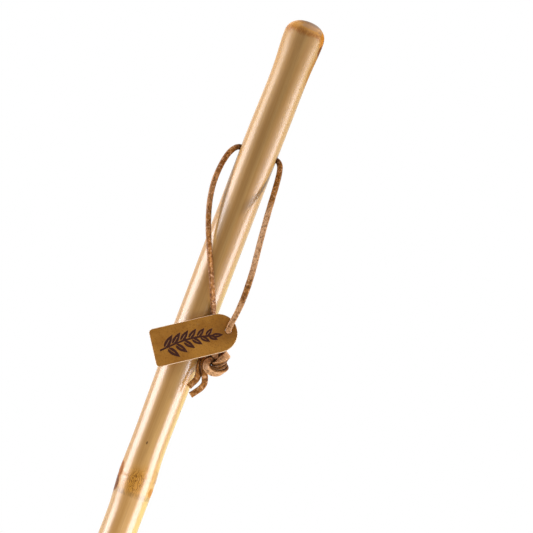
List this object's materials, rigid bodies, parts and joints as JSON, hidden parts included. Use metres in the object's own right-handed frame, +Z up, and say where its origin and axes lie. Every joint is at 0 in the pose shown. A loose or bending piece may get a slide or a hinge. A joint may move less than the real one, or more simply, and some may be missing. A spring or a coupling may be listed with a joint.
{
  "type": "hiking staff",
  "caption": "Bamboo hiking staff with burnt joints, a rounded crown, a leather wrist lace knotted through a cross bore, a leather tag on the lace and a ribbed rubber tip.",
  "frame": {"origin": "middle of the rubber tip's sole, where the staff meets the ground", "axes": "+Z up along the cane, X along the lace bore with the knot on the +X side, -Y towards the tag"},
  "size_m": [0.0623, 0.0439, 1.397],
  "materials": {
    "bamboo": "gloss lacquer",
    "rubber": "matte",
    "steel": "zinc plated",
    "lace": "oiled",
    "tag": "satin"
  },
  "bodies": {
    "staff": {"bamboo_shaft": "bamboo", "rubber_tip": "rubber", "tip_washer": "steel"},
    "strap": {"lace_bore_run": "lace", "lace_left_leg": "lace", "lace_right_leg": "lace", "lace_knot": "lace", "lace_short_tail": "lace", "lace_long_tail": "lace"},
    "tag": {"leather_tag": "tag"}
  },
  "joints": [
    {"name": "strap_swing", "type": "hinge", "parent": "staff", "child": "strap", "pos_m": [0, 0, 1.2945], "axis": [-1, 0, 0], "range_deg": [0, 150]},
    {"name": "tag_swing", "type": "hinge", "parent": "strap", "child": "tag", "pos_m": [0.0251, -0.0186, 1.1665], "axis": [-0.0778, -0.9903, 0.1154], "range_deg": [-10, 100]}
  ]
}
